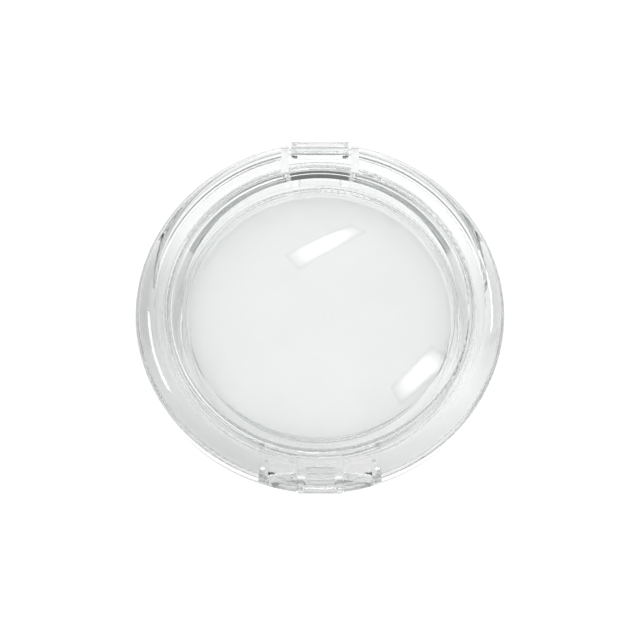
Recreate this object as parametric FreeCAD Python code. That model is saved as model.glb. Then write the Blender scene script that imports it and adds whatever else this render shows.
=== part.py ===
import FreeCAD, Part
import os
from math import radians, sin, sqrt, tan
from FreeCAD import Vector as V

os.makedirs("parts", exist_ok=True)

# Round clear wet-palette compact. Millimetres, +Z up. Origin at the middle of
# the foot ring on the table plane; hinge at the back (+Y), latch at the front (-Y).

# ---- driving dimensions -------------------------------------------------
R_LID = 37.5            # outer radius of the lid lip
R_BASE = 37.25          # outer radius of the base rim
H_TOP = 16.5            # apex of the lid dome
WALL = 1.4              # shell thickness

# base shell
BASE_ARC = 7.0          # rounding of the base side
BASE_ARC_R = 30.25      # where that rounding's centre stands
BASE_TOP = 7.85         # rim height
FOOT_IN = 25.0          # inner radius of the foot ring
FOOT_UP = 0.4           # underside recess inside the foot ring
FLOOR = 1.4             # top of the floor
WELL_IN = 30.0          # well wall
WELL_OUT = 31.2
WELL_TOP = 7.2          # its flat top carries the seal ring

# lid shell
DOME_R = 150.0          # sphere of the dome
RIM_F = 5.2             # shoulder rounding
RIM_FR, RIM_FZ = 32.3, 7.65
LID_BOT = 8.15          # lid lip
RIM_IN = 36.1           # inner face of the lid's outer wall
CHAM_Z = 9.65           # where the wall turns into the shoulder's straight inner face
CHAM_R = 33.05          # where that face meets the channel's ceiling
CEIL = 12.05            # ceiling of the channel between the wall and the skirt
SKIRT_IN, SKIRT_OUT = 29.7, 30.8
SKIRT_BOT = 7.9
CONE_R = 27.7           # the skirt's sloped root starts here under the window
CONE_DEG = 35.7         # and falls at this angle

# hinge
AX_Y, AX_Z = 35.4, 9.65
HB_X = 5.9              # half width of the base's hinge block
HN_X = 6.4              # half width of the lid's back notch
LUG_X = 7.9             # outer face of the lid lugs
KNUCKLE = 1.85
BLOCK_TOP = 9.5         # saddle between the knuckle and the stop rib
RIB_R, RIB_Y, RIB_Z = 0.9, 32.45, 10.0
BLOCK_IN = 31.55        # inner face of the hinge block above the well wall
NOTCH_R = 31.4          # inner wall of both lid notches
PIN_R = 0.6
PIN_BORE = 0.65         # running fit in the lugs
PIN_HALF = 7.7
BACK_RIM = 7.3          # lowered rim behind the hinge
BACK_RIM_DEG = 20.5     # half the arc that it is lowered over

# front latch
FN_X = 10.95            # half width of the lid's front notch
CH_X = 10.3             # half width of the base's latch block
CH_TOP = 9.5
SCOOP_R = 60.0          # thumb scoop
SCOOP_Y = 34.0
LEDGE = 5.0
POCKET_X = 4.75
POCKET_Z = 3.4
BTN_X = 4.5
ARM_X = 3.3
BAR_IN, BAR_OUT = 32.2, 33.3
PLATE_IN, PLATE_OUT = 35.9, 37.05
BTN_BOT, BTN_TOP = 3.65, 7.6
BAR_BOT = 5.0
EAR_X = 5.25
HOOK_X = 2.9
HEAD_X, HEAD_BOT = 4.4, 8.2
POST_IN, POST_OUT = 33.7, 34.8
LIP_IN = 33.4
HOOK_BOT = 3.0
LIP_TOP = 4.7

# sponge pan, seal, sponge, paper
PAN_IN, PAN_OUT = 27.0, 28.0
PAN_FLOOR0, PAN_FLOOR1 = 1.5, 2.3
PAN_LIP = 7.6
PAN_LIP_R = 28.35
FLANGE_R = 29.75
FLANGE0, FLANGE1 = 5.7, 6.4
SEAL_R, SEAL_T = 30.5, 0.27    # thin O-ring on the well wall
SEAL0 = 7.22
SPONGE_R = 26.6
SPONGE0, SPONGE1 = 2.35, 4.75
PAPER_R = 26.5
PAPER_T = 0.12


# ---- helpers ----------------------------------------------------------------
def p(r, z):
    return V(r, 0, z)


def line(a, b):
    return Part.LineSegment(p(*a), p(*b)).toShape()


def arc(a, m, b):
    return Part.Arc(p(*a), p(*m), p(*b)).toShape()


def rev(edges):
    w = Part.Wire(Part.__sortEdges__(edges))
    return Part.Face(w).revolve(V(0, 0, 0), V(0, 0, 1), 360)


def rounded(points, closed=True):
    """Outline from (r, z, corner radius) points joined by straight lines."""
    n = len(points)
    runs, out = [], []
    for i in range(n):
        a, b, c = points[i - 1], points[i], points[(i + 1) % n]
        f = b[2] if len(b) > 2 else 0
        pb = p(b[0], b[1])
        if not f:
            runs.append((pb, None, pb))
            continue
        u = (p(a[0], a[1]) - pb).normalize()
        w = (p(c[0], c[1]) - pb).normalize()
        half = u.getAngle(w) / 2
        t = f / tan(half)
        s, e = pb + u * t, pb + w * t
        mid = (u + w).normalize()
        m = pb + mid * (f / sin(half) - f)
        runs.append((s, m, e))
    for i in range(n):
        s, m, e = runs[i]
        if m is not None:
            out.append(Part.Arc(s, m, e).toShape())
        if i == n - 1 and not closed:
            break
        nxt = runs[(i + 1) % n][0]
        if (nxt - e).Length > 1e-6:
            out.append(Part.LineSegment(e, nxt).toShape())
    return out


def box(x0, x1, y0, y1, z0, z1):
    return Part.makeBox(x1 - x0, y1 - y0, z1 - z0, V(x0, y0, z0))


def rod_x(r, x0, x1, y=AX_Y, z=AX_Z):
    return Part.makeCylinder(r, x1 - x0, V(x0, y, z), V(1, 0, 0))


def both(make):
    """A feature at +X and its mirror at -X."""
    a = make()
    return [a, a.mirror(V(0, 0, 0), V(1, 0, 0))]


def extrude_x(pts, half):
    w = Part.makePolygon([V(-half, y, z) for y, z in pts + pts[:1]])
    return Part.Face(w).extrude(V(2 * half, 0, 0))


def save(shape, name):
    s = shape.removeSplitter()
    if s.ShapeType != "Solid" and len(s.Solids) == 1:
        s = s.Solids[0]
    print(name, "solids", len(s.Solids), "valid", s.isValid(), "mm3", round(s.Volume, 2))
    s.exportStep("parts/%s.step" % name)
    return s


def fillet(shape, radius, want):
    """Round the edges that `want` picks, one set at a time."""
    es = [e for e in shape.Edges if want(e)]
    return shape.makeFillet(radius, es) if es else shape


def on_cyl(dr, z):
    return sqrt(dr * dr - z * z)


# ---- base shell ---------------------------------------------------------------
ci = BASE_ARC - WALL
dr = WELL_OUT - BASE_ARC_R
zc = BASE_ARC - on_cyl(ci, dr)
k = 0.7071067811865476
base_in_r = R_BASE - WALL
edges = [
    line((0, FOOT_UP), (FOOT_IN, FOOT_UP)),
    line((FOOT_IN, FOOT_UP), (FOOT_IN + 0.4, 0)),
    line((FOOT_IN + 0.4, 0), (BASE_ARC_R, 0)),
    arc((BASE_ARC_R, 0), (BASE_ARC_R + BASE_ARC * k, BASE_ARC - BASE_ARC * k), (R_BASE, BASE_ARC)),
    line((R_BASE, BASE_ARC), (R_BASE, BASE_TOP - 0.25)),
    arc((R_BASE, BASE_TOP - 0.25), (R_BASE - 0.25 + 0.25 * k, BASE_TOP - 0.25 + 0.25 * k), (R_BASE - 0.25, BASE_TOP)),
    line((R_BASE - 0.25, BASE_TOP), (base_in_r + 0.2, BASE_TOP)),
    arc((base_in_r + 0.2, BASE_TOP), (base_in_r + 0.2 - 0.2 * k, BASE_TOP - 0.2 + 0.2 * k), (base_in_r, BASE_TOP - 0.2)),
    line((base_in_r, BASE_TOP - 0.2), (base_in_r, BASE_ARC)),
    arc((base_in_r, BASE_ARC), (BASE_ARC_R + ci * 0.80, BASE_ARC - ci * 0.60), (WELL_OUT, zc)),
    line((WELL_OUT, zc), (WELL_OUT, WELL_TOP - 0.2)),
    arc((WELL_OUT, WELL_TOP - 0.2), (WELL_OUT - 0.2 + 0.2 * k, WELL_TOP - 0.2 + 0.2 * k), (WELL_OUT - 0.2, WELL_TOP)),
    line((WELL_OUT - 0.2, WELL_TOP), (WELL_IN + 0.2, WELL_TOP)),
    arc((WELL_IN + 0.2, WELL_TOP), (WELL_IN + 0.2 - 0.2 * k, WELL_TOP - 0.2 + 0.2 * k), (WELL_IN, WELL_TOP - 0.2)),
    line((WELL_IN, WELL_TOP - 0.2), (WELL_IN, FLOOR + 0.5)),
    arc((WELL_IN, FLOOR + 0.5), (WELL_IN - 0.5 + 0.5 * k, FLOOR + 0.5 - 0.5 * k), (WELL_IN - 0.5, FLOOR)),
    line((WELL_IN - 0.5, FLOOR), (0, FLOOR)),
    line((0, FLOOR), (0, FOOT_UP)),
]
base = rev(edges)

# filled envelope of the base, to trim the blocks that stand in its channel
env_r = WELL_OUT - 0.6
env_a = BASE_ARC - 0.15
env_z = BASE_ARC - on_cyl(env_a, env_r - BASE_ARC_R)
env = rev([
    line((env_r, env_z), (env_r, 14)),
    line((env_r, 14), (R_BASE - 0.15, 14)),
    line((R_BASE - 0.15, 14), (R_BASE - 0.15, BASE_ARC)),
    arc((R_BASE - 0.15, BASE_ARC), (BASE_ARC_R + env_a * k, BASE_ARC - env_a * k), (env_r, env_z)),
])

# lowered rim behind the hinge, so that the lid lip can swing down past it
dip = Part.makePolygon([V(33.0, 0, BACK_RIM), V(40, 0, BACK_RIM), V(40, 0, 9.0), V(33.0, 0, 9.0), V(33.0, 0, BACK_RIM)])
dip.rotate(V(0, 0, 0), V(0, 0, 1), 90 - BACK_RIM_DEG)
base = base.cut(Part.Face(dip).revolve(V(0, 0, 0), V(0, 0, 1), 2 * BACK_RIM_DEG))

# hinge block: stands in the channel against the well wall and carries the knuckle
blk_y0 = WELL_OUT - 0.5
bridge = box(-HB_X, HB_X, BLOCK_IN, AX_Y, WELL_TOP - 0.4, BLOCK_TOP).fuse(box(-HB_X, HB_X, BLOCK_IN, RIB_Y, BLOCK_TOP - 0.5, RIB_Z))
bridge = bridge.fuse(rod_x(RIB_R, -HB_X, HB_X, RIB_Y, RIB_Z))
knuckle = rod_x(KNUCKLE, -HB_X, HB_X)
web = box(-HB_X, HB_X, blk_y0, AX_Y + 0.9, 1.5, WELL_TOP - 0.2)
web = web.fuse(box(-HB_X, HB_X, BLOCK_IN, AX_Y + 0.9, WELL_TOP - 0.4, AX_Z)).common(env)
hinge = bridge.fuse(knuckle).fuse(web).removeSplitter()
hinge = hinge.cut(Part.makeCylinder(WELL_IN + 0.4, 20))
# the block is cored out from below, so that it is evenly thick
base = base.fuse(hinge).cut(box(-HB_X + 1.2, HB_X - 1.2, WELL_OUT + 1.1, AX_Y - 0.6, -1, 6.9))

# latch block: two cheeks with a thumb scoop and a pocket for the button
cheeks = box(-CH_X, CH_X, -38, -(WELL_OUT - 0.6), 1.2, CH_TOP).common(env)
cheeks = cheeks.cut(Part.makeCylinder(WELL_IN + 0.4, 20))
cheeks = cheeks.cut(Part.makeCylinder(SKIRT_OUT + 0.5, 20, V(0, 0, WELL_TOP)))
base = base.fuse(cheeks)
scoop = Part.makeCylinder(SCOOP_R, 12, V(0, -(SCOOP_Y + SCOOP_R), LEDGE))
scoop = scoop.common(box(-CH_X - 0.1, CH_X + 0.1, -45, -30, LEDGE, 17))
base = base.cut(scoop)
pocket = box(-POCKET_X, POCKET_X, -45, -30.0, POCKET_Z, 17)
pocket = pocket.fuse(box(-POCKET_X, POCKET_X, -34.95, -30.0, 2.4, 17))
base = base.cut(pocket.cut(Part.makeCylinder(WELL_OUT, 20)))
# grooves for the button's guide ears, shut at the front end
for g in both(lambda: box(POCKET_X - 0.1, EAR_X + 0.25, -33.25, -30.9, 5.55, 6.95)):
    base = base.cut(g.cut(Part.makeCylinder(WELL_OUT, 20)))


def scoop_edge(e):
    """Upper edges of the cheeks along the thumb scoop."""
    if e.Degenerated:
        return False
    pts = e.discretize(4)
    return all(abs(v.z - CH_TOP) < 1e-4 and abs(sqrt(v.x ** 2 + (v.y + SCOOP_Y + SCOOP_R) ** 2) - SCOOP_R) < 1e-3 for v in pts)


base = base.removeSplitter()
base = fillet(base, 0.5, scoop_edge)
# press bore for the hinge pin
base = base.cut(rod_x(PIN_R, -HB_X - 1, HB_X + 1))
base = save(base, "base_shell")


# ---- lid shell --------------------------------------------------------------
c0 = H_TOP - DOME_R


def tangent(rad, fil):
    d = sqrt(RIM_FR ** 2 + (RIM_FZ - c0) ** 2)
    s = rad / d
    return RIM_FR * s, c0 + (RIM_FZ - c0) * s


def lid_outline(rad, fil, z_bot):
    """Edges of the dome and its shoulder, from the axis to the lip, and the lip point."""
    tr, tz = tangent(rad, fil)
    mr = tr / 2
    lip = RIM_FR + on_cyl(fil, z_bot - RIM_FZ)
    return [
        arc((0, c0 + rad), (mr, c0 + on_cyl(rad, mr)), (tr, tz)),
        arc((tr, tz), (RIM_FR + fil * 0.78, RIM_FZ + fil * sqrt(1 - 0.78 ** 2)), (lip, z_bot)),
    ], lip


out_e, lip_o = lid_outline(DOME_R, RIM_F, LID_BOT)
RAD_IN = DOME_R - WALL


def under(r):
    return c0 + on_cyl(RAD_IN, r)


# closed section: outer surface, wall, straight-faced shoulder, channel ceiling,
# skirt with its sloped root, and the window's underside
cone_z = under(CONE_R) - (SKIRT_IN - CONE_R) * tan(radians(CONE_DEG))
inner = rounded([
    (lip_o, LID_BOT), (RIM_IN, LID_BOT, 0.2), (RIM_IN, CHAM_Z, 0.7), (CHAM_R, CEIL, 0.7),
    (SKIRT_OUT, CEIL, 0.4), (SKIRT_OUT, SKIRT_BOT, 0.3), (SKIRT_IN, SKIRT_BOT, 0.3),
    (SKIRT_IN, cone_z), (CONE_R, under(CONE_R))], closed=False)
dome_in = arc((CONE_R, under(CONE_R)), (CONE_R / 2, under(CONE_R / 2)), (0, c0 + RAD_IN))
lid = rev(out_e + inner + [dome_in, line((0, c0 + RAD_IN), (0, c0 + DOME_R))])
lid_full = rev(out_e + [line((lip_o, LID_BOT), (0, LID_BOT)), line((0, LID_BOT), (0, c0 + DOME_R))])

keep = Part.makeCylinder(NOTCH_R, 20)
lid = lid.cut(box(-HN_X, HN_X, 20, 40, 7, 18).cut(keep)).cut(box(-FN_X, FN_X, -40, -20, 7, 18).cut(keep))

# lugs beside the hinge block, and the end walls of the front notch, both out from the skirt
ring = Part.makeCylinder(SKIRT_OUT - 0.3, 20)
lugs = both(lambda: box(HN_X, LUG_X, 25, 40, 7, 18).cut(ring).common(lid_full))
ends = both(lambda: box(FN_X, FN_X + 1.0, -40, -25, 7, 18).cut(ring).common(lid_full))
for s in lugs + ends:
    lid = lid.fuse(s)
# running bores in the lugs, which spring over the pin's ends
lid = lid.cut(rod_x(PIN_BORE, -LUG_X - 0.01, LUG_X + 0.01))

# latch tongue: a bridge from the notch wall, a post and a small inward lip
z_in = c0 + on_cyl(DOME_R - WALL, NOTCH_R)
z_out = c0 + on_cyl(DOME_R, NOTCH_R)
tongue = extrude_x([
    (-30.9, z_in + 0.25), (-NOTCH_R, z_in), (-POST_IN + 0.6, z_in - 0.9), (-POST_IN, z_in - 1.6),
    (-POST_IN, LIP_TOP), (-LIP_IN, LIP_TOP - 0.3), (-LIP_IN, LIP_TOP - 0.8), (-POST_IN - 0.25, HOOK_BOT),
    (-POST_OUT + 0.2, HOOK_BOT), (-POST_OUT, HOOK_BOT + 0.3), (-POST_OUT, z_in - 1.0),
    (-POST_OUT + 0.7, z_in + 0.2), (-NOTCH_R, z_out - 0.05), (-30.9, z_out - 0.02)], HOOK_X)
# the tongue's wide head, which the thumb lifts
head = extrude_x([
    (-30.9, z_in + 0.25), (-NOTCH_R, z_in), (-POST_IN + 0.6, z_in - 0.9), (-POST_IN, z_in - 1.6),
    (-POST_IN, HEAD_BOT), (-POST_OUT, HEAD_BOT), (-POST_OUT, z_in - 1.0),
    (-POST_OUT + 0.7, z_in + 0.2), (-NOTCH_R, z_out - 0.05), (-30.9, z_out - 0.02)], HEAD_X)
lid = lid.fuse(tongue).fuse(head).removeSplitter()

lid = save(lid, "lid_shell")


# ---- hinge pin ----------------------------------------------------------------
pin = rod_x(PIN_R, -PIN_HALF, PIN_HALF)
pin = fillet(pin, 0.15, lambda e: True if e.Curve.TypeId == "Part::GeomCircle" else False)
save(pin, "hinge_pin")


# ---- sponge pan ---------------------------------------------------------------
pan = rev(rounded([
    (0, PAN_FLOOR0), (PAN_OUT, PAN_FLOOR0, 1.0), (PAN_OUT, FLANGE0, 0.25),
    (FLANGE_R, FLANGE0, 0.2), (FLANGE_R, FLANGE1, 0.2), (PAN_LIP_R, FLANGE1, 0.1),
    (PAN_LIP_R, PAN_LIP, 0.35), (PAN_IN, PAN_LIP, 0.35), (PAN_IN, PAN_FLOOR1, 0.35), (0, PAN_FLOOR1)]))
save(pan, "sponge_pan")


# ---- seal ring ----------------------------------------------------------------
seal = Part.makeTorus(SEAL_R, SEAL_T, V(0, 0, SEAL0 + SEAL_T))
save(seal, "seal_ring")


# ---- sponge and paper -----------------------------------------------------------
sponge = rev(rounded([(0, SPONGE0), (SPONGE_R, SPONGE0, 0.5), (SPONGE_R, SPONGE1, 0.5), (0, SPONGE1)]))
save(sponge, "hydration_sponge")
paper = Part.makeCylinder(PAPER_R, PAPER_T, V(0, 0, SPONGE1 + 0.02))
save(paper, "palette_paper")


# ---- latch button ---------------------------------------------------------------
def q(y, z):
    return V(-BTN_X, -y, z)


plate = Part.Wire([
    Part.LineSegment(q(PLATE_IN, BTN_BOT), q(PLATE_OUT - 0.75, BTN_BOT)).toShape(),
    Part.Arc(q(PLATE_OUT - 0.75, BTN_BOT), q(PLATE_OUT - 0.2, BTN_BOT + 0.8), q(PLATE_OUT, BTN_BOT + 1.9)).toShape(),
    Part.LineSegment(q(PLATE_OUT, BTN_BOT + 1.9), q(PLATE_OUT, BTN_TOP - 0.8)).toShape(),
    Part.Arc(q(PLATE_OUT, BTN_TOP - 0.8), q(PLATE_OUT - 0.8 + 0.8 * k, BTN_TOP - 0.8 + 0.8 * k), q(PLATE_OUT - 0.8, BTN_TOP)).toShape(),
    Part.LineSegment(q(PLATE_OUT - 0.8, BTN_TOP), q(PLATE_IN, BTN_TOP)).toShape(),
    Part.LineSegment(q(PLATE_IN, BTN_TOP), q(PLATE_IN, BTN_BOT)).toShape()])
plate = Part.Face(plate).extrude(V(2 * BTN_X, 0, 0))
plate = fillet(plate, 0.3, lambda e: abs(abs(e.CenterOfMass.x) - BTN_X) < 1e-6 and -e.CenterOfMass.y > PLATE_IN + 0.05)
arms = [box(ARM_X, BTN_X, -PLATE_IN - 0.2, -BAR_IN, BAR_BOT, BTN_TOP - 0.2)]
arms.append(arms[0].mirror(V(0, 0, 0), V(1, 0, 0)))
bar = box(-BTN_X, BTN_X, -BAR_OUT, -BAR_IN, BAR_BOT, BTN_TOP - 0.2)
ears = both(lambda: box(BTN_X - 0.3, EAR_X, -33.0, -31.95, 5.75, 6.75))
button = plate.fuse(bar)
for s in arms + ears:
    button = button.fuse(s)
save(button, "latch_button")


# ---- button spring ---------------------------------------------------------------
# a bowed leaf: its middle bears on the bar, its two feet bear on the well wall
y_mid = -BAR_IN + 0.02
a_out = Part.Arc(V(-2.9, -31.32, 0), V(0, y_mid, 0), V(2.9, -31.32, 0))
a_in = Part.Arc(V(-2.9, -31.12, 0), V(0, y_mid + 0.2, 0), V(2.9, -31.12, 0))
leaf = Part.Wire(Part.__sortEdges__([
    a_out.toShape(), a_in.toShape(),
    Part.LineSegment(V(-2.9, -31.32, 0), V(-2.9, -31.12, 0)).toShape(),
    Part.LineSegment(V(2.9, -31.32, 0), V(2.9, -31.12, 0)).toShape()]))
spring = Part.Face(leaf).extrude(V(0, 0, 1.6))
spring.translate(V(0, 0, 5.4))
save(spring, "button_spring")
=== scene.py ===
import math
import random

import bmesh
import bpy
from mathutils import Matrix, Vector, noise


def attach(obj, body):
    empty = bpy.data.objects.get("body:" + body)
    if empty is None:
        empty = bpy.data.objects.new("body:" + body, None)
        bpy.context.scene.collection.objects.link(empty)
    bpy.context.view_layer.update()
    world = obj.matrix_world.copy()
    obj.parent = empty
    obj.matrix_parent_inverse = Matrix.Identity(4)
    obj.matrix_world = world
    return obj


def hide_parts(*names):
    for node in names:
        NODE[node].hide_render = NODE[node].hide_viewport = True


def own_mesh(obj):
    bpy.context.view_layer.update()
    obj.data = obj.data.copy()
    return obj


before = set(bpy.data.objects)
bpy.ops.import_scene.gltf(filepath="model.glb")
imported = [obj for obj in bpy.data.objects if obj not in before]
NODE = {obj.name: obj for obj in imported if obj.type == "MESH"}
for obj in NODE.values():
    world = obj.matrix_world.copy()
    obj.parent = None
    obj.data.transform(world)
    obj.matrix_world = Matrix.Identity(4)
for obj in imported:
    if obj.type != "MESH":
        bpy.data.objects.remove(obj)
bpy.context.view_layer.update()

MM = 0.001
rng = random.Random(59)


# ------------------------------------------------------------------ node helpers
class Mat:
    """A small wrapper for building a material's node tree."""

    def __init__(self, name):
        self.m = bpy.data.materials.new(name)
        self.m.use_nodes = True
        self.t = self.m.node_tree
        self.t.nodes.clear()
        self.out = self.n("ShaderNodeOutputMaterial")
        self.b = self.n("ShaderNodeBsdfPrincipled")
        self.link(self.b.outputs[0], self.out.inputs["Surface"])

    def n(self, kind, **kw):
        x = self.t.nodes.new(kind)
        for k, v in kw.items():
            setattr(x, k, v)
        return x

    def link(self, a, b):
        self.t.links.new(a, b)

    def set(self, **kw):
        for k, v in kw.items():
            self.b.inputs[k.replace("_", " ")].default_value = v

    def coord(self):
        if not hasattr(self, "_c"):
            self._c = self.n("ShaderNodeTexCoord").outputs["Object"]
        return self._c

    def noise(self, scale, detail=3.0, rough=0.5, distort=0.0, vec=None):
        x = self.n("ShaderNodeTexNoise")
        x.inputs["Scale"].default_value = scale
        x.inputs["Detail"].default_value = detail
        x.inputs["Roughness"].default_value = rough
        x.inputs["Distortion"].default_value = distort
        self.link(vec or self.coord(), x.inputs["Vector"])
        return x.outputs["Fac"]

    def voronoi(self, scale, feature="F1", vec=None, rand=1.0):
        x = self.n("ShaderNodeTexVoronoi", feature=feature)
        x.inputs["Scale"].default_value = scale
        x.inputs["Randomness"].default_value = rand
        self.link(vec or self.coord(), x.inputs["Vector"])
        return x.outputs["Distance"]

    def ramp(self, fac, stops, interp="LINEAR"):
        x = self.n("ShaderNodeValToRGB")
        x.color_ramp.interpolation = interp
        e = x.color_ramp.elements
        while len(e) < len(stops):
            e.new(0.5)
        for el, (p, c) in zip(e, stops):
            el.position = p
            el.color = c if len(c) == 4 else (*c, 1)
        self.link(fac, x.inputs["Fac"])
        return x.outputs["Color"]

    def map(self, fac, a, b, lo=0.0, hi=1.0):
        x = self.n("ShaderNodeMapRange")
        x.inputs["From Min"].default_value = lo
        x.inputs["From Max"].default_value = hi
        x.inputs["To Min"].default_value = a
        x.inputs["To Max"].default_value = b
        self.link(fac, x.inputs["Value"])
        return x.outputs["Result"]

    def math(self, op, a, b):
        x = self.n("ShaderNodeMath", operation=op)
        for i, v in enumerate((a, b)):
            if isinstance(v, (int, float)):
                x.inputs[i].default_value = v
            else:
                self.link(v, x.inputs[i])
        return x.outputs[0]

    def bump(self, height, strength, dist, normal=None):
        x = self.n("ShaderNodeBump")
        x.inputs["Strength"].default_value = strength
        x.inputs["Distance"].default_value = dist
        self.link(height, x.inputs["Height"])
        if normal is not None:
            self.link(normal, x.inputs["Normal"])
        return x.outputs["Normal"]


# ------------------------------------------------------------------ materials
def clear_plastic(name, ior, tint_a, tint_b, rough_lo, rough_hi, wave, absorb):
    """Polished injection-moulded clear plastic: faint flow marks and hairline handling haze."""
    m = Mat(name)
    m.set(Transmission_Weight=1.0, IOR=ior)
    flow = m.noise(90.0, 2.0, 0.45, 0.6)
    m.link(m.ramp(flow, [(0.3, tint_a), (0.7, tint_b)]), m.b.inputs["Base Color"])
    haze = m.noise(900.0, 4.0, 0.6)
    m.link(m.map(haze, rough_lo, rough_hi, 0.35, 0.75), m.b.inputs["Roughness"])
    m.link(m.bump(flow, wave, 0.0006), m.b.inputs["Normal"])
    # light that runs a long way round inside the moulding comes out darker
    vol = m.n("ShaderNodeVolumeAbsorption")
    vol.inputs["Color"].default_value = (0.30, 0.34, 0.33, 1)
    vol.inputs["Density"].default_value = absorb
    m.link(vol.outputs[0], m.out.inputs["Volume"])
    return m.m


CLEAR = clear_plastic("clear_plastic", 1.55, (0.962, 0.968, 0.966), (0.978, 0.982, 0.981), 0.0, 0.012, 0.012, 6.0)
LIDMAT = clear_plastic("clear_lid", 1.55, (0.966, 0.972, 0.970), (0.982, 0.986, 0.985), 0.0, 0.012, 0.012, 17.0)
PANMAT = clear_plastic("clear_pan", 1.52, (0.950, 0.958, 0.956), (0.968, 0.974, 0.972), 0.01, 0.05, 0.02, 8.0)


def silicone():
    m = Mat("silicone")
    m.set(Transmission_Weight=0.75, IOR=1.41)
    f = m.noise(600.0, 3.0, 0.5)
    m.link(m.ramp(f, [(0.3, (0.93, 0.945, 0.945)), (0.7, (0.97, 0.98, 0.98))]), m.b.inputs["Base Color"])
    m.link(m.map(f, 0.18, 0.34, 0.3, 0.7), m.b.inputs["Roughness"])
    m.link(m.bump(m.noise(2500.0, 2.0), 0.08, 0.00005), m.b.inputs["Normal"])
    return m.m


def foam():
    m = Mat("sponge_foam")
    m.set(Subsurface_Weight=0.0)
    cells = m.voronoi(1500.0)
    big = m.noise(300.0, 4.0, 0.6)
    col = m.ramp(m.math("ADD", m.math("MULTIPLY", cells, 0.7), m.math("MULTIPLY", big, 0.3)),
                 [(0.15, (0.78, 0.80, 0.78)), (0.45, (0.88, 0.895, 0.88)), (0.8, (0.93, 0.94, 0.93))])
    m.link(col, m.b.inputs["Base Color"])
    m.link(m.map(cells, 0.7, 0.95), m.b.inputs["Roughness"])
    m.link(m.bump(cells, 0.6, 0.0002), m.b.inputs["Normal"])
    return m.m


def damp_paper():
    m = Mat("damp_paper")
    m.set(IOR=1.45)
    fib = m.n("ShaderNodeMapping")
    fib.inputs["Scale"].default_value = (1.0, 6.0, 1.0)
    m.link(m.coord(), fib.inputs["Vector"])
    fibre = m.noise(420.0, 6.0, 0.65, 1.2, vec=fib.outputs["Vector"])
    cloud = m.noise(46.0, 3.0, 0.55)
    mixv = m.math("ADD", m.math("MULTIPLY", fibre, 0.35), m.math("MULTIPLY", cloud, 0.65))
    m.link(m.ramp(mixv, [(0.32, (0.872, 0.888, 0.882)), (0.68, (0.905, 0.917, 0.912))]), m.b.inputs["Base Color"])
    m.link(m.map(cloud, 0.34, 0.5, 0.3, 0.7), m.b.inputs["Roughness"])
    m.link(m.bump(fibre, 0.12, 0.00008), m.b.inputs["Normal"])
    return m.m


SIL, FOAM, PAPER = silicone(), foam(), damp_paper()


def dress(obj, mat):
    obj.data.materials.clear()
    obj.data.materials.append(mat)


for n in ("base_shell", "hinge_pin", "latch_button"):
    dress(NODE[n], CLEAR)
dress(NODE["lid_shell"], LIDMAT)
dress(NODE["sponge_pan"], PANMAT)
dress(NODE["seal_ring"], SIL)


# ------------------------------------------------------------------ mesh helpers
def new_object(name, bm, mat, smooth_deg=35.0):
    bm.normal_update()
    for f in bm.faces:
        f.smooth = True
    lim = math.radians(smooth_deg)
    for e in bm.edges:
        if len(e.link_faces) == 2:
            e.smooth = e.calc_face_angle(0.0) < lim
    me = bpy.data.meshes.new(name)
    bm.to_mesh(me)
    bm.free()
    o = bpy.data.objects.new(name, me)
    bpy.context.scene.collection.objects.link(o)
    me.materials.append(mat)
    return o


def lathe(profile, seg, warp=None):
    """Turn a closed outline of (r, z) points in metres about Z. Points on the axis become one vertex."""
    bm = bmesh.new()
    rings = []
    for i, (r, z) in enumerate(profile):
        if r < 1e-9:
            rings.append([bm.verts.new((0, 0, z))])
            continue
        ring = []
        for s in range(seg):
            a = 2 * math.pi * s / seg
            co = Vector((r * math.cos(a), r * math.sin(a), z))
            ring.append(bm.verts.new(warp(co, i) if warp else co))
        rings.append(ring)
    n = len(rings)
    for i in range(n):
        a, b = rings[i], rings[(i + 1) % n]
        if len(a) == 1 and len(b) == 1:
            continue
        for s in range(seg):
            t = (s + 1) % seg
            if len(a) == 1:
                bm.faces.new((a[0], b[s], b[t]))
            elif len(b) == 1:
                bm.faces.new((a[s], b[0], a[t]))
            else:
                bm.faces.new((a[s], b[s], b[t], a[t]))
    bmesh.ops.recalc_face_normals(bm, faces=bm.faces)
    return bm


# ------------------------------------------------------------------ sponge
SP_R, SP_Z0, SP_Z1 = 26.6 * MM, 2.35 * MM, 4.75 * MM


def sponge_warp(co, i):
    r = math.hypot(co.x, co.y)
    if r < 1e-6:
        return co
    d = noise.noise(co * 900.0) * 0.055 + noise.noise(co * 2300.0 + Vector((7, 1, 3))) * 0.05
    d -= abs(noise.noise(co * 260.0)) * 0.09
    edge = 1.0 if r > SP_R * 0.985 else 0.25
    u = Vector((co.x / r, co.y / r, 0))
    z = co.z
    if SP_Z0 + 0.0001 < z < SP_Z1 - 0.0001:
        return co + u * (d - 0.06) * MM * edge
    return co + u * (d - 0.06) * MM * 0.6 * edge + Vector((0, 0, (-1 if z > 0.0035 else 1) * abs(d) * 0.3 * MM))


prof = [(0.0, SP_Z0)] + [(SP_R * k / 9, SP_Z0) for k in range(1, 9)]
rc = 0.5 * MM
for k in range(6):
    a = -math.pi / 2 + k * math.pi / 10
    prof.append((SP_R - rc + rc * math.cos(a), SP_Z0 + rc + rc * math.sin(a)))
for k in range(1, 9):
    prof.append((SP_R, SP_Z0 + rc + (SP_Z1 - SP_Z0 - 2 * rc) * k / 9))
for k in range(6):
    a = k * math.pi / 10
    prof.append((SP_R - rc + rc * math.cos(a), SP_Z1 - rc + rc * math.sin(a)))
prof += [(SP_R * k / 9, SP_Z1) for k in range(8, 0, -1)] + [(0.0, SP_Z1)]
sponge = new_object("sponge_disc", lathe(prof, 420, sponge_warp), FOAM, 60)
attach(sponge, "base")
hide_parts("hydration_sponge")


# ------------------------------------------------------------------ palette paper
PA_R, PA_Z, PA_T = 26.5 * MM, 4.78 * MM, 0.10 * MM


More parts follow.
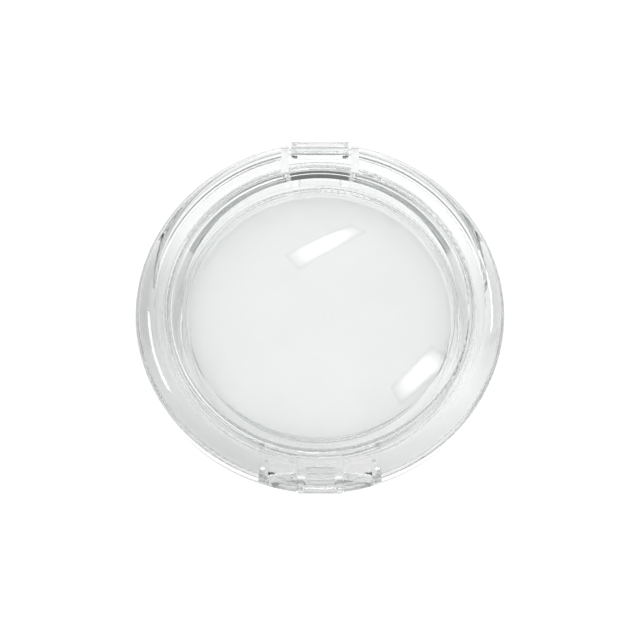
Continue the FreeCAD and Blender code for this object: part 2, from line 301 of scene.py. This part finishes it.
def paper_z(x, y):
    r = math.hypot(x, y) / PA_R
    v = noise.noise(Vector((x * 55.0, y * 55.0, 2.1))) * 0.030
    v += noise.noise(Vector((x * 130.0, y * 130.0, 5.7))) * 0.010
    return PA_Z + (0.04 + v * (0.35 + 0.65 * r)) * MM


def paper_mesh():
    bm = bmesh.new()
    rings, seg = 44, 220
    top, bot = [], []
    for side, store in ((1, top), (0, bot)):
        for i in range(rings + 1):
            r = PA_R * i / rings
            if i == 0:
                store.append([bm.verts.new((0, 0, paper_z(0, 0) + side * PA_T))])
                continue
            ring = []
            for s in range(seg):
                a = 2 * math.pi * s / seg
                x, y = r * math.cos(a), r * math.sin(a)
                ring.append(bm.verts.new((x, y, paper_z(x, y) + side * PA_T)))
            store.append(ring)
    for store, flip in ((top, False), (bot, True)):
        for i in range(rings):
            a, b = store[i], store[i + 1]
            for s in range(seg):
                t = (s + 1) % seg
                f = (a[0], b[s], b[t]) if i == 0 else (a[s], b[s], b[t], a[t])
                bm.faces.new(f[::-1] if flip else f)
    for s in range(seg):
        t = (s + 1) % seg
        bm.faces.new((bot[-1][s], bot[-1][t], top[-1][t], top[-1][s]))
    return bm


paper = new_object("palette_sheet", paper_mesh(), PAPER, 40)
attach(paper, "base")
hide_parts("palette_paper")


# ------------------------------------------------------------------ leaf spring behind the button
def leaf_mesh():
    """A bowed strip: its feet bear on the well wall and its middle on the button's bar."""
    half, bow, seg = 2.9 * MM, 0.86 * MM, 32
    rad = (half * half + bow * bow) / (2 * bow)
    bm = bmesh.new()
    rows = []
    for i in range(seg + 1):
        x = half * (2 * i / seg - 1)
        rise = math.sqrt(rad * rad - x * x) - (rad - bow)
        y0, y1 = -31.12 * MM - rise, -31.32 * MM - rise
        rows.append([bm.verts.new((x, y, z)) for y, z in
                     ((y0, 5.4 * MM), (y0, 7.0 * MM), (y1, 7.0 * MM), (y1, 5.4 * MM))])
    for a, b in zip(rows, rows[1:]):
        for k in range(4):
            j = (k + 1) % 4
            bm.faces.new((a[k], a[j], b[j], b[k]))
    bm.faces.new(rows[0][::-1])
    bm.faces.new(rows[-1])
    bmesh.ops.recalc_face_normals(bm, faces=bm.faces)
    return bm


leaf = new_object("spring_leaf", leaf_mesh(), CLEAR)
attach(leaf, "base")
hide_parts("button_spring")
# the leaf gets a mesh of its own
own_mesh(leaf)


# ------------------------------------------------------------------ floor, world, lights
def make_floor():
    """White sweep. Seen directly it is plain white; what the clear walls bend towards them is a glow with painted
    shade in it: brighter behind the case, dimmer in front and far away, and darker at a spot on each side."""
    bm = bmesh.new()
    bmesh.ops.create_grid(bm, x_segments=1, y_segments=1, size=1.6)
    m = Mat("floor_white")
    m.set(Roughness=0.9)
    m.b.inputs["Base Color"].default_value = (0.18, 0.18, 0.18, 1)
    m.b.inputs["Emission Color"].default_value = (1, 1, 1, 1)
    pos = m.coord()
    dot = m.n("ShaderNodeVectorMath", operation="DOT_PRODUCT")
    dot.inputs[1].default_value = (0.45, 0.90, 0.0)
    m.link(pos, dot.inputs[0])
    side = m.ramp(m.map(dot.outputs["Value"], 0.0, 1.0, -0.040, 0.040),
                  [(0.0, (PAINTED_SHADE_LEVELS[0],) * 3), (0.33, (PAINTED_SHADE_LEVELS[1],) * 3), (0.56, (PAINTED_SHADE_LEVELS[2],) * 3), (0.90, (PAINTED_SHADE_LEVELS[3],) * 3)])
    far = m.n("ShaderNodeVectorMath", operation="LENGTH")
    m.link(pos, far.inputs[0])
    sep = m.n("ShaderNodeSeparateXYZ")
    m.link(pos, sep.inputs[0])
    ahead = m.math("DIVIDE", sep.outputs["Y"], m.math("MAXIMUM", far.outputs["Value"], 0.001))
    end = m.map(ahead, FAR_SIDE, FAR_BACK, -0.10, 0.70)
    painted_far_shade = m.math("ADD", 1.0, m.math("MULTIPLY", m.map(far.outputs["Value"], 0.0, 1.0, FAR0, FAR1), m.math("SUBTRACT", end, 1.0)))
    # painted shade: the glow is dimmed in front of the case and far away, standing in for the case's shadow
    painted_shade_sheet = m.math("MULTIPLY", side, painted_far_shade)
    # painted shade: a darker spot on each side of the case
    for x, y, low in PAINTED_SHADE_SPOTS:
        d = m.n("ShaderNodeVectorMath", operation="DISTANCE")
        m.link(pos, d.inputs[0])
        d.inputs[1].default_value = (x, y, 0)
        painted_shade_sheet = m.math("MULTIPLY", painted_shade_sheet, m.map(d.outputs["Value"], low, 1.0, 0.007, 0.021))
    # camera rays see plain white; all other rays see the painted shade
    path = m.n("ShaderNodeLightPath")
    mix = m.n("ShaderNodeMix", data_type="FLOAT")
    m.link(path.outputs["Is Camera Ray"], mix.inputs["Factor"])
    m.link(painted_shade_sheet, mix.inputs["A"])
    mix.inputs["B"].default_value = 0.95
    m.link(mix.outputs["Result"], m.b.inputs["Emission Strength"])
    o = new_object("floor", bm, m.m)
    o.location = (0, 0, -0.00002)


# glow levels of the painted shade, from front-left round to back-right
PAINTED_SHADE_LEVELS = (0.55, 0.76, 0.90, 0.97)
FAR0, FAR1 = 0.070, 0.120
FAR_SIDE, FAR_BACK = 0.45, 0.12
PAINTED_SHADE_SPOTS = [(-0.040, 0.006, 0.66), (0.041, 0.004, 0.72)]     # painted shade in the floor's glow at each side, standing in for a dark card
make_floor()

HORIZON = (0.66, 0.12, 0.0, 0.03)     # front, back, added at the left, added at the right
SKY = 1.40
world = bpy.data.worlds.new("studio")
bpy.context.scene.world = world
world.use_nodes = True
wt = world.node_tree
wt.nodes.clear()
w_out = wt.nodes.new("ShaderNodeOutputWorld")
w_bg = wt.nodes.new("ShaderNodeBackground")
w_bg.inputs["Color"].default_value = (1, 1, 1, 1)
w_tc = wt.nodes.new("ShaderNodeTexCoord")
w_sep = wt.nodes.new("ShaderNodeSeparateXYZ")
w_path = wt.nodes.new("ShaderNodeLightPath")


def w_math(op, a, b):
    x = wt.nodes.new("ShaderNodeMath")
    x.operation = op
    for i, v in enumerate((a, b)):
        if isinstance(v, (int, float)):
            x.inputs[i].default_value = v
        else:
            wt.links.new(v, x.inputs[i])
    return x.outputs[0]


def w_span(v, lo, hi, a, b):
    x = wt.nodes.new("ShaderNodeMapRange")
    x.interpolation_type = "SMOOTHSTEP"
    wt.links.new(v, x.inputs["Value"])
    for n, val in (("From Min", lo), ("From Max", hi), ("To Min", a), ("To Max", b)):
        x.inputs[n].default_value = val
    return x.outputs["Result"]


# bright overhead, with a horizon that darkens from the front round to the back
wt.links.new(w_tc.outputs["Generated"], w_sep.inputs[0])
hx, hy, hz = (w_sep.outputs[i] for i in range(3))
low = w_math("ADD", w_span(hy, -0.25, 0.60, HORIZON[0], HORIZON[1]), w_span(hx, -0.8, 0.8, HORIZON[2], HORIZON[3]))
rise = w_span(hz, 0.30, 0.88, 0.0, 1.0)
sky = w_math("ADD", low, w_math("MULTIPLY", rise, w_math("SUBTRACT", SKY, low)))
shade = w_math("ADD", sky, w_math("MULTIPLY", w_path.outputs["Is Camera Ray"], w_math("SUBTRACT", 1.0, sky)))
wt.links.new(shade, w_bg.inputs["Strength"])
wt.links.new(w_bg.outputs[0], w_out.inputs["Surface"])


# ------------------------------------------------------------------ camera
PX = 4.93               # picture points per millimetre at the middle of the case
ELEV = math.radians(69.75)
DIST = 0.600
centre = Vector((0, 0, 8 * MM))
up = Vector((0, math.sin(ELEV), math.cos(ELEV)))
back = Vector((0, -math.cos(ELEV), math.sin(ELEV)))
aim = centre - up * ((320 - 314.3) / PX * MM)
cam_data = bpy.data.cameras.new("camera")
cam_data.sensor_width = 36.0
cam_data.lens = 36.0 * DIST / (640 / PX * MM)
cam_data.clip_start, cam_data.clip_end = 0.01, 20
cam = bpy.data.objects.new("camera", cam_data)
cam.location = aim + back * DIST
cam.rotation_euler = (aim - cam.location).to_track_quat("-Z", "Y").to_euler()
bpy.context.scene.collection.objects.link(cam)
bpy.context.scene.camera = cam

# two strip softboxes, hung so that the dome mirrors them to the camera
DOME_C, DOME_R = Vector((0, 0, -133.5 * MM)), 150 * MM


def seen_on_dome(px, py):
    """Point of the dome, and the mirror direction there, behind a picture point."""
    right = Vector((1, 0, 0))
    d = (-back * DIST + right * ((px - 320) / PX * MM) + up * ((320 - py) / PX * MM)).normalized()
    o = cam.location - DOME_C
    bq = o.dot(d)
    t = -bq - math.sqrt(bq * bq - (o.dot(o) - DOME_R ** 2))
    hit = cam.location + d * t
    n = (hit - DOME_C).normalized()
    return hit, d - 2 * d.dot(n) * n


def softbox(name, quad, reach, power):
    bm = bmesh.new()
    vs = []
    for px, py in quad:
        hit, r = seen_on_dome(px, py)
        vs.append(bm.verts.new(hit + r * reach))
    uv = bm.loops.layers.uv.new("uv")
    for loop, st in zip(bm.faces.new(vs).loops, ((0, 0), (1, 0), (1, 1), (0, 1))):
        loop[uv].uv = st
    m = Mat(name)
    m.set(Roughness=1.0)
    # the cloth of the box dims towards its edges
    sep = m.n("ShaderNodeSeparateXYZ")
    m.link(m.n("ShaderNodeTexCoord").outputs["UV"], sep.inputs[0])
    glow = power
    for ch, soft in (("X", 0.55), ("Y", 0.5)):
        off = m.math("ABSOLUTE", m.math("SUBTRACT", m.math("MULTIPLY", sep.outputs[ch], 2.0), 1.0), 0.0)
        glow = m.math("MULTIPLY", m.map(off, 1.0, 0.0, 1.0 - soft, 1.0), glow)
    m.link(glow, m.b.inputs["Emission Strength"])
    m.b.inputs["Base Color"].default_value = (0, 0, 0, 1)
    m.b.inputs["Emission Color"].default_value = (1, 1, 1, 1)
    o = new_object(name, bm, m.m)
    o.visible_camera = o.visible_diffuse = o.visible_transmission = o.visible_shadow = False


softbox("softbox_back", [(284, 255), (351, 224), (367, 232), (299, 271)], 0.7, 7.0)
softbox("softbox_side", [(390, 387), (432, 345), (454, 360), (400, 406)], 0.7, 7.0)


def strip(name, az, el, wide, tall, power, reach=0.8):
    """A strip light at an azimuth and elevation in degrees (0 is the front), seen in gloss only."""
    bm = bmesh.new()
    vs = []
    for da, de in ((-wide, -tall), (wide, -tall), (wide, tall), (-wide, tall)):
        a, e = math.radians(az + da), math.radians(el + de)
        vs.append(bm.verts.new(Vector((math.sin(a) * math.cos(e), -math.cos(a) * math.cos(e), math.sin(e))) * reach))
    bm.faces.new(vs)
    m = Mat(name)
    m.set(Roughness=1.0, Emission_Strength=power)
    m.b.inputs["Base Color"].default_value = (0, 0, 0, 1)
    m.b.inputs["Emission Color"].default_value = (1, 1, 1, 1)
    o = new_object(name, bm, m.m)
    o.visible_camera = o.visible_diffuse = o.visible_transmission = o.visible_shadow = False


strip("strip_front", 10, 47, 18, 4, 9.0)
strip("strip_low", 0, 24, 26, 5, 14.0)
strip("strip_left", -96, 34, 16, 5, 9.0)
strip("strip_right", 118, 30, 14, 4, 9.0)

sc = bpy.context.scene
sc.view_settings.view_transform = "Standard"
sc.view_settings.look = "None"
sc.view_settings.exposure = 0.0
c = sc.cycles
c.max_bounces = 56
c.transmission_bounces = 56
c.glossy_bounces = 48
c.diffuse_bounces = 6
c.transparent_max_bounces = 24
c.caustics_refractive = True
c.caustics_reflective = True
c.blur_glossy = 0.3
c.sample_clamp_indirect = 8.0

bpy.context.view_layer.update()
